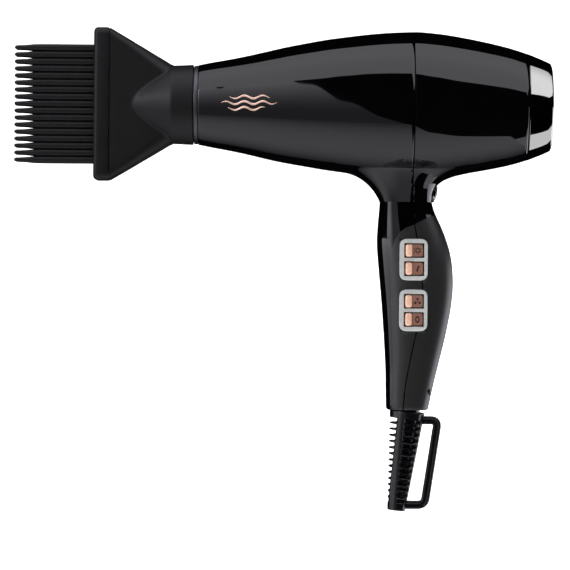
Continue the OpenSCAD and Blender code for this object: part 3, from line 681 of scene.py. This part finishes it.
def key(z):
    """A key: a rounded ridge to press, then a sunk pad."""
    bm = block((143.25, -20.15, z - 3.7), (147.2, -15.2, z + 3.7), 1.25)
    pad = block((146.2, PAD_Y, z - 3.65), (153.75, -15.0, z + 3.65), 1.3,
                lambda e: abs(e.verts[0].co.y - e.verts[1].co.y) > 1)
    soften(pad, 0.4, 60, 3, lambda e: all(v.co.y < PAD_Y + 0.1 for v in e.verts))
    # The pad takes the copy of the lacquer that is painted darker as shade.
    for f in pad.faces:
        f.material_index = 1
    join(bm, pad)
    return bm


def ring_mark(cx, cz, r_out, r_in, stretch=1.0):
    """A flat printed ring; stretch makes it taller."""
    bm = turned([(0, r_in), (0.05, r_in), (0.05, r_out), (0, r_out)], 40)
    spun = Matrix.Rotation(math.radians(90), 4, "Z")
    bmesh.ops.transform(bm, matrix=spun, verts=bm.verts)
    bmesh.ops.scale(bm, vec=(1, 1, stretch), verts=bm.verts)
    bmesh.ops.translate(bm, verts=bm.verts, vec=(cx, PAD_Y - 0.07, cz))
    return bm


def dot_mark(cx, cz, r):
    return ring_mark(cx, cz, r, 0.001)


def bar_mark(cx, cz, w, h, lean=0.0):
    """A flat printed bar."""
    bm = bmesh.new()
    bmesh.ops.create_cube(bm, size=1)
    bmesh.ops.scale(bm, vec=(w, 0.05, h), verts=bm.verts)
    soften(bm, 0.12 * min(w, h), 60)
    spun = Matrix.Rotation(math.radians(lean), 4, "Y")
    bmesh.ops.transform(bm, matrix=spun, verts=bm.verts)
    bmesh.ops.translate(bm, verts=bm.verts, vec=(cx, PAD_Y - 0.05, cz))
    return bm


def heat_marks(z):
    """Heat: a small ring with six dots round it."""
    out = ring_mark(MARK_X, z, 1.5, 0.95)
    for k in range(6):
        a = math.radians(60 * k + 30)
        join(out, dot_mark(MARK_X + 2.15 * math.cos(a), z + 2.15 * math.sin(a), 0.3))
    return out


def run_marks(z):
    return bar_mark(MARK_X, z, 0.95, 3.7, 18)


def fan_marks(z):
    """Air: three blobs in a triangle round a hub."""
    out = dot_mark(MARK_X, z - 0.2, 0.35)
    for k in range(3):
        a = math.radians(120 * k + 90)
        join(out, dot_mark(MARK_X + 1.45 * math.cos(a), z - 0.2 + 1.45 * math.sin(a), 0.72))
    return out


def off_marks(z):
    return ring_mark(MARK_X, z, 1.35, 0.7, 1.55)


for name, z in (("upper_bezel", UPPER_BEZEL), ("lower_bezel", LOWER_BEZEL)):
    finish_piece(bezel(z), name + "_plate", BEZEL, "housing", (name,), 50)
for name, z, marks in (("heat_key", UPPER_BEZEL + KEY_STEP, heat_marks),
                       ("run_key", UPPER_BEZEL - KEY_STEP, run_marks),
                       ("fan_key", LOWER_BEZEL + KEY_STEP, fan_marks),
                       ("off_key", LOWER_BEZEL - KEY_STEP, off_marks)):
    finish_piece(key(z), name + "_cap", [KEY_RIDGE_PAINTED_LIT, KEY_PAD_PAINTED_SHADE], name, (name,), 50)
    finish_piece(marks(z), name + "_print", MARKS, name, (), 50)

# ---------------------------------------------------------------- cool-shot button


def along_shot(bm):
    """Moves a piece that was turned round the X axis onto the button's axis."""
    bmesh.ops.transform(bm, matrix=Matrix.Translation(SHOT_AT) @ Matrix.Rotation(SHOT_TILT, 4, "Y"),
                        verts=bm.verts)
    return bm


finish_piece(along_shot(turned([(-4.5, 0), (1.55, 0), (1.5, 1.2), (1.35, 2.4), (1.05, 3.2), (0.6, 3.75),
                                (0.1, 4.0), (-4.4, 4.0), (-4.4, 4.65), (-5.7, 4.65), (-5.7, 0)], 64)),
             "cool_shot_cap", CAP_BLACK, "cool_shot_button", ("cool_shot_button",))
finish_piece(along_shot(turned(rounded([(-0.85, 4.1), (0.75, 4.1), (0.85, 4.6), (0.4, 5.0), (-0.85, 5.0)],
                                       0.2, 3), 64)),
             "cool_shot_bezel", CHROME, "housing", ("cool_shot_ring",))

# ---------------------------------------------------------------- cord guard

GUARD_TOP, GUARD_LEAN, GUARD_LEN = Vector((145.6, 0, -182.6)), math.radians(6), 60.0
FIRST_SLOT, SLOT_STEP, SLOTS = 6.0, 3.7, 14
BORE, BORE_LEN = 3.6, 20.0  # radius and end of the hole for the lead, up from the guard's foot


def guard_radius(s):
    """Radius of the guard at s millimetres below its top."""
    return 10.5 - 5.2 * s / GUARD_LEN


def on_guard_axis(bm):
    """Moves a piece drawn down from the origin onto the guard's leaning axis."""
    place = Matrix.Translation(GUARD_TOP) @ Matrix.Rotation(GUARD_LEAN, 4, "Y")
    bmesh.ops.transform(bm, matrix=place, verts=bm.verts)
    return bm


def guard_skin():
    """Tapered guard: slots right across its front, and pockets between ribs behind the spine."""
    bm = bmesh.new()
    column = bm.verts.layers.float.new("column")
    made = bmesh.ops.create_circle(bm, segments=120, radius=7.6, cap_ends=False)
    for v in made["verts"]:
        v[column] = math.atan2(v.co.y, v.co.x)
        v.co.z = -0.2

    def ring(s, grow):
        def place(angle, old):
            full = guard_radius(s) + grow
            r = full
            slot = round((s - FIRST_SLOT) / SLOT_STEP)
            off = abs(s - FIRST_SLOT - SLOT_STEP * slot)
            if 0 <= slot < SLOTS:
                wall = smooth(1.32, 1.0, off)
                c = math.cos(angle)
                if c < -0.05 and full > 5.3:
                    flat = min(full, -5.25 / c)
                    r = full + (flat - full) * wall
                side = abs(math.sin(angle))
                pocket = smooth(0.10, 0.26, c + 0.30) * smooth(0.93, 0.80, c)
                deep = min(2.6, full - 4.3) * pocket * smooth(1.25, 0.8, off)
                if c > -0.3 and side > 0.25:
                    r = full - max(0.0, deep)
            return Vector((r * math.cos(angle), r * math.sin(angle), -s))
        return place

    rings = [ring(0.2, -2.2), ring(0.0, -1.2), ring(0.15, -0.5), ring(0.5, -0.1)]
    s = 0.8
    while s < GUARD_LEN - 0.9:
        rings.append(ring(s, 0))
        s += 0.32
    rings += [ring(GUARD_LEN - 0.6, 0), ring(GUARD_LEN - 0.2, -0.15), ring(GUARD_LEN, -0.55),
              ring(GUARD_LEN, -1.6)]
    rings += [lambda a, old, up=up: Vector((BORE * math.cos(a), BORE * math.sin(a), up - GUARD_LEN))
              for up in (0.3, BORE_LEN)]
    grow_rings(bm, bm.edges[:], rings)
    for level in (-0.2, BORE_LEN - GUARD_LEN):
        rim = [e for e in bm.edges if e.is_boundary and abs(e.verts[0].co.z - level) < 0.01]
        bmesh.ops.contextual_create(bm, geom=rim)
    bmesh.ops.recalc_face_normals(bm, faces=bm.faces)
    return on_guard_axis(bm)


def sweep(path, section):
    """A closed rod along a path that stays in the plane of the handle."""
    bm = bmesh.new()
    column = bm.verts.layers.float.new("column")
    geom = chain(bm, section(path, 0), closed=True)
    edges = [g for g in geom if isinstance(g, bmesh.types.BMEdge)]
    for i, v in enumerate(g for g in geom if isinstance(g, bmesh.types.BMVert)):
        v[column] = i
    rings = [lambda i, old, spots=section(path, k): Vector(spots[int(round(i))])
             for k in range(1, len(path))]
    for loop in (edges, grow_rings(bm, edges, rings)):
        bmesh.ops.contextual_create(bm, geom=loop)
    bmesh.ops.recalc_face_normals(bm, faces=bm.faces)
    return bm


def loop_section(path, k):
    """Oval rod with a groove down each flat side."""
    a, b = Vector(path[max(k - 1, 0)]), Vector(path[min(k + 1, len(path) - 1)])
    t = (b - a).normalized()
    across = Vector((t.y, -t.x))
    out = []
    for i in range(24):
        angle = 2 * math.pi * i / 24
        c, s = math.cos(angle), math.sin(angle)
        u = 2.5 * math.copysign(abs(c) ** 0.72, c)
        v = 2.5 * math.copysign(abs(s) ** 0.72, s)
        v *= 1 - 0.34 * smooth(0.5, 0.0, abs(c))
        p = Vector(path[k]) + across * u
        out.append((p.x, v, p.y))
    return out


def rounded_run(points, radius, steps=7):
    """An open path with its inner corners rounded."""
    out = [Vector(points[0])]
    for a, p, b in zip(points, points[1:], points[2:]):
        a, p, b = Vector(a), Vector(p), Vector(b)
        start, end = p + (a - p).normalized() * radius, p + (b - p).normalized() * radius
        for k in range(steps + 1):
            t = k / steps
            out.append(start * (1 - t) ** 2 + p * 2 * t * (1 - t) + end * t * t)
    out.append(Vector(points[-1]))
    return out


guard = guard_skin()
loop_run = rounded_run([(150.5, -188.1), (164.0, -188.1), (156.35, -238.9), (143.5, -238.9)], 4.2)
join(guard, sweep(loop_run, loop_section))
neck = turned([(0, 0), (0, 7.4), (4.5, 7.4), (4.5, 0)], 64)
upright = Matrix.Translation(GUARD_TOP - Vector((0, 0, 1))) @ Matrix.Rotation(math.radians(-90), 4, "Y")
bmesh.ops.transform(neck, matrix=upright, verts=neck.verts)
join(guard, neck)
finish_piece(guard, "cord_guard_skin", RUBBER, "housing", ("cord_guard",), 60)

# ---------------------------------------------------------------- comb attachment


TOOTH_STEP, ROW_Y, TEETH_UP = 4.2, 3.7, 8  # a middle tooth, and this many more each way
PLATE_X, PLATE_SIZE = -38.75, (9.3, 26, 91.4)


def tooth(y, z):
    """A tooth: full for most of its length, then drawn in to a rounded tip."""
    shape = [(-43.0, 0), (-43.0, 2.04), (-60, 2.07), (-74, 2.07), (-79.5, 1.98), (-81.5, 1.78),
             (-84, 1.5), (-87, 1.34), (-89.6, 1.26), (-90.4, 1.12), (-90.9, 0.82), (-91.15, 0.42),
             (-91.2, 0)]
    return turned(shape, 16, False, (0, y, z))


def teeth():
    bm = bmesh.new()
    for k in range(-TEETH_UP, TEETH_UP + 1):
        for s in (-1, 1):
            join(bm, tooth(s * ROW_Y, TOOTH_STEP * k))
    return bm


def plate():
    """The plate that carries the teeth, with an air slot between each pair."""
    bm = bmesh.new()
    bmesh.ops.create_cube(bm, size=1)
    bmesh.ops.scale(bm, vec=PLATE_SIZE, verts=bm.verts)
    bmesh.ops.translate(bm, verts=bm.verts, vec=(PLATE_X, 0, 0))
    soften(bm, 4.4, 30, 5, lambda e: abs(e.verts[0].co.x - e.verts[1].co.x) > 1)
    soften(bm, 2.4, 60, 5, lambda e: all(v.co.x < -43 for v in e.verts))
    soften(bm, 1.2, 60, 3, lambda e: all(v.co.x > -34.5 for v in e.verts))
    middles = [TOOTH_STEP * (k + 0.5) for k in range(-TEETH_UP, TEETH_UP)]
    cuts = [((0, s * 1.3, 0), (0, 1, 0)) for s in (-1, 1)]
    cuts += [((0, 0, z + s * 1.1), (0, 0, 1)) for z in middles for s in (-1, 1)]
    for co, no in cuts:
        flat = [f for f in bm.faces if f.normal.x < -0.99]
        geom = list({v for f in flat for v in f.verts}) + list({e for f in flat for e in f.edges}) + flat
        bmesh.ops.bisect_plane(bm, geom=geom, dist=1e-4, plane_co=co, plane_no=no)
    slots = [f for f in bm.faces if f.normal.x < -0.99 and abs(f.calc_center_median().y) < 1.2
             and any(abs(f.calc_center_median().z - z) < 0.9 for z in middles)]
    out = bmesh.ops.extrude_discrete_faces(bm, faces=slots)["faces"]
    bmesh.ops.translate(bm, verts=list({v for f in out for v in f.verts}), vec=(5, 0, 0))
    return bm


def funnel_radius(x, angle):
    """Distance from the air axis to the funnel's skin at angle, which is measured from +Y to +Z."""
    t = clamp((x + 34.1) / 37.1)
    half_z = 45.7 + (24.0 - 45.7) * t
    half_y, corner = 12.0, 5 + 7 * t**1.5
    c, s = abs(math.cos(angle)), abs(math.sin(angle))

    def outside(r):
        u, v = r * c - half_y + corner, r * s - half_z + corner
        return math.hypot(max(u, 0), max(v, 0)) + min(max(u, v), 0) - corner

    low, high = 0.0, 60.0
    for _ in range(26):
        mid = (low + high) / 2
        low, high = (mid, high) if outside(mid) < 0 else (low, mid)
    slab = low if x < 4 else 0
    cone = 12 + 11.5 * clamp((x + 20.1) / 23.1) if x < 3 else 23.45 + 0.6 * (x - 3) / 13
    if x < -20.1:
        cone = 0
    edge = 0.8
    h = clamp(0.5 + 0.5 * (slab - cone) / edge)
    return slab * h + cone * (1 - h) + edge * h * (1 - h)


def funnel():
    """Wide flat funnel that a cone runs out of, down to the round collar."""
    bm = bmesh.new()
    column = bm.verts.layers.float.new("column")
    made = bmesh.ops.create_circle(bm, segments=200, radius=30, cap_ends=False)
    for v in made["verts"]:
        v[column] = math.atan2(v.co.y, v.co.x)

    def ring(x, grow=0.0):
        def place(angle, old):
            r = funnel_radius(x, angle) + grow
            return Vector((x, r * math.cos(angle), r * math.sin(angle)))
        return place

    for v in made["verts"]:
        v.co = ring(-34.0, -1.0)(v[column], None)
    xs = [-33.9, -33.4] + [-33.4 + 37.6 * k / 44 for k in range(1, 45)] + [5.5, 7, 9, 11, 13, 15, 15.6]
    rings = [ring(x) for x in xs] + [ring(15.95, -0.12), ring(16.1, -0.5), ring(16.1, -2.6)]
    grow_rings(bm, list(bm.edges), rings)
    bmesh.ops.recalc_face_normals(bm, faces=bm.faces)
    return bm


comb = plate()
join(comb, teeth())
finish_piece(comb, "pick_comb", COMB, "comb", ("comb_plate",), 40)
finish_piece(funnel(), "funnel_shell", COMB, "comb", ("nozzle_funnel",), 40, 1.7)

# ---------------------------------------------------------------- foil mark on the barrel


def foil_mark():
    """A generic sign for moving air: three waves, the middle one longest."""
    bm = bmesh.new()
    for row, (x0, x1) in enumerate(((38, 62), (33, 66), (37, 59))):
        z0, count = 3.4 - 3.4 * row, 60
        top, low = [], []
        for k in range(count + 1):
            t = k / count
            x = x0 + (x1 - x0) * t
            z = z0 + 0.9 * math.sin(2 * math.pi * (x - 33) / 11)
            half = 0.62 * math.sin(math.pi * clamp(t, 0.02, 0.98)) ** 0.5
            for out, dz in ((top, half), (low, -half)):
                r = barrel_radius(x) + 0.04
                out.append((x, -math.sqrt(r * r - (z + dz) ** 2), z + dz))
        a = chain(bm, top)
        b = chain(bm, low)
        bmesh.ops.bridge_loops(bm, edges=[g for g in a + b if isinstance(g, bmesh.types.BMEdge)])
    bmesh.ops.recalc_face_normals(bm, faces=bm.faces)
    for f in bm.faces:
        if f.normal.y > 0:
            f.normal_flip()
    return bm


finish_piece(foil_mark(), "foil_mark", FOIL, "housing", (), 60, 0.06)

# ---------------------------------------------------------------- CAD pieces that stay

KEPT = {
    RESIN: ("outlet_collar", "outlet_grille"),
    MICA: ("mica_liner", "heater_former"),
    HEAT_WIRE: ("heating_coils",),
    STEEL: ("thermal_cutout", "brush_springs", "motor_shaft", "cool_shot_spring", "clamp_screws",
            "housing_screws", "attachment_snap_ring"),
    CERAMIC: ("thermal_fuse", "terminal_block"),
    WIRE_SKIN: ("lead_wires",),
    DARK_PART: ("fan_duct", "motor_front_bracket", "motor_rear_bracket", "upper_switch_unit",
                "lower_switch_unit", "cool_shot_switch", "cord_clamp"),
    IRON: ("motor_stator", "armature"),
    COPPER: ("field_windings", "armature_windings", "commutator"),
    BRONZE: ("front_bearing", "rear_bearing"),
    BRASS: ("brush_holders", "fan_nut"),
    CARBON: ("carbon_brushes",),
    FAN_WHITE: ("fan_impeller",),
    GRILLE: ("rear_guard",),
    MESH_STEEL: ("filter_mesh",),
    SILICONE: ("heat_dome", "run_dome", "fan_dome", "off_dome"),
    CAP_BLACK: ("screw_caps",),
}
for mat, names in KEPT.items():
    for name in names:
        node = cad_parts[name]
        node.data.materials.clear()
        node.data.materials.append(mat)

# ---------------------------------------------------------------- studio


CENTRE = Vector((0.0717, 0, -0.1076))  # middle of the view, in metres as all of the studio is
DISTANCE, VIEW_WIDE, ROLL = 2.0, 0.342, 0.0075
FLOOR_Z, STAGE_LEFT, STAGE_RIGHT, STAGE_NEAR, STAGE_FAR, STAGE_TOP = -0.36, -6, 6, -5, 4, 6


def sheet(name, corners, mat, card=False):
    """A flat sheet of the stage, from its corners. A card only shows as a reflection."""
    bm = bmesh.new()
    chain(bm, corners, closed=True)
    bmesh.ops.contextual_create(bm, geom=bm.edges[:])
    mesh = bpy.data.meshes.new(name)
    bm.to_mesh(mesh)
    bm.free()
    mesh.materials.append(mat)
    obj = bpy.data.objects.new(name, mesh)
    scene.collection.objects.link(obj)
    obj.visible_camera = obj.visible_diffuse = obj.visible_shadow = not card
    obj.visible_glossy = card


def lamp(name, place, aim, wide, high, watts):
    """A soft lamp that lights matt surfaces and leaves no reflection."""
    light = bpy.data.lights.new(name, "AREA")
    light.shape, light.size, light.size_y = "RECTANGLE", wide, high
    light.energy, light.specular_factor = watts, 0.0
    obj = bpy.data.objects.new(name, light)
    scene.collection.objects.link(obj)
    back = Vector(place) - Vector(aim)
    obj.matrix_world = Matrix.Translation(place) @ back.to_track_quat("Z", "X").to_matrix().to_4x4()
    obj.visible_camera = obj.visible_glossy = False


def glow(name, strength, *fades):
    """Glow of a light card. Each fade is (axis, from, to, share at from, share at to), and they multiply."""
    mat, tree, shader, _, _ = start(name, {"Base Color": (0, 0, 0, 1), "Roughness": 1.0,
                                           "Emission Color": linear("#F7F7FF")})
    metres = add(tree, "TexCoord", {}).outputs["Object"]
    axes = add(tree, "SeparateXYZ", {0: metres})
    level = strength
    for axis, low, high, at_low, at_high in fades:
        ramp = add(tree, "MapRange", {"Value": axes.outputs[axis], "From Min": low, "From Max": high,
                                      "To Min": at_low, "To Max": at_high},
                   interpolation_type="SMOOTHSTEP")
        level = add(tree, "Math", {0: level, 1: ramp.outputs[0]}, operation="MULTIPLY").outputs[0]
    feed(tree, shader, {"Emission Strength": level})
    return mat


def card(name, corners, mat):
    sheet(name, corners, mat, card=True)


scene.view_settings.view_transform = "Standard"
world = bpy.data.worlds.new("studio")
scene.world = world
world.use_nodes = True
world.node_tree.nodes["Background"].inputs[0].default_value = (0.001, 0.001, 0.001, 1)

paper = start("white_paper_sweep", {"Base Color": linear("#FFFFFF"), "Roughness": 0.9,
                                    "Emission Color": linear("#FFFFFF"), "Emission Strength": 0.85})[0]
sheet("floor", [(STAGE_LEFT, STAGE_NEAR, FLOOR_Z), (STAGE_RIGHT, STAGE_NEAR, FLOOR_Z),
                (STAGE_RIGHT, STAGE_FAR, FLOOR_Z), (STAGE_LEFT, STAGE_FAR, FLOOR_Z)], paper)
sheet("backdrop", [(STAGE_LEFT, STAGE_FAR, FLOOR_Z - 0.04), (STAGE_RIGHT, STAGE_FAR, FLOOR_Z - 0.04),
                   (STAGE_RIGHT, STAGE_FAR, STAGE_TOP), (STAGE_LEFT, STAGE_FAR, STAGE_TOP)], paper)

# Top softbox: its mirror image runs along the upper side of the barrel and the cap.
card("top_card", [(x, y, 1.2) for x, y in (
    (-1.6, 0.44), (-1.6, -1.25), (-0.35, -1.11), (-0.17, -1.01), (0.02, -1.03), (0.49, -1.19),
    (0.87, -1.41), (1.38, -1.65), (2.7, -1.95), (3.4, -2.1), (3.4, 0.44))],
     glow("top_glow", 1.6, ("Y", -0.2, 0.44, 1.0, 0.68)))
# Front panel at the left of the camera: dim at eye level, brighter upwards.
card("front_card", [(x, -2.05, z) for x, z in (
    (-4.5, 3.2), (-4.5, -1.2), (0.05, -1.2), (0.0, -1.06), (-0.2, -0.7), (-0.5, 0.57),
    (-1.24, 2.76), (-1.4, 3.2))],
     glow("front_glow", 1.75, ("Z", -0.6, 2.6, 0.13, 1.0), ("X", -2.4, -1.25, 5.5, 1.0)))
# Left card: a bright strip down the front edge of the handle, fading downwards.
card("left_card", [(-2.2, -2.05, -0.6), (-2.2, 0.5, -0.6), (-2.2, 0.5, -0.04), (-2.2, -2.05, -0.04)],
     glow("left_glow", 2.4, ("Z", -0.5, -0.05, 0.35, 1.0)))
# Low panel: a broad bump of light from the floor in front.
card("low_card", [(x, y, -1.2) for x, y in (
    (-4.5, -2.05), (0.05, -2.05), (0.71, -0.84), (0.91, -0.54), (0.85, 0.8), (-4.5, 0.8))],
     glow("low_glow", 1.0, ("Y", -2.4, -0.5, 0.25, 1.0), ("Y", -0.3, 0.9, 1.0, 0.1)))
card("low_right_card", [(x, y, -1.21) for x, y in (
    (0.86, -0.33), (2.6, -0.33), (2.6, 0.68), (0.86, 0.68))], glow("low_right_glow", 1.2))
# Side card behind the right: a bright line down the rear of the neck and a soft one on the grip.
card("rear_card", [(1.3, 0.08, -0.9), (1.3, 1.6, -0.9), (1.3, 1.6, 0.02), (1.3, 0.08, 0.02)],
     glow("rear_glow", 2.2))
lamp("top_light", (0.1, -0.38, 1.2), (0.1, -0.38, 0), 2.6, 1.64, 26)
lamp("fill", (-0.9, -2.2, 0.9), CENTRE, 1.6, 1.6, 11)

camera = bpy.data.cameras.new("camera")
camera.sensor_width = 36
camera.lens = camera.sensor_width * DISTANCE / VIEW_WIDE
camera.clip_end = 60
eye = bpy.data.objects.new("camera", camera)
scene.collection.objects.link(eye)
eye.matrix_world = (Matrix.Translation(CENTRE + Vector((0, -DISTANCE, 0)))
                    @ Matrix.Rotation(math.radians(90), 4, "X") @ Matrix.Rotation(ROLL, 4, "Z"))
scene.camera = eye
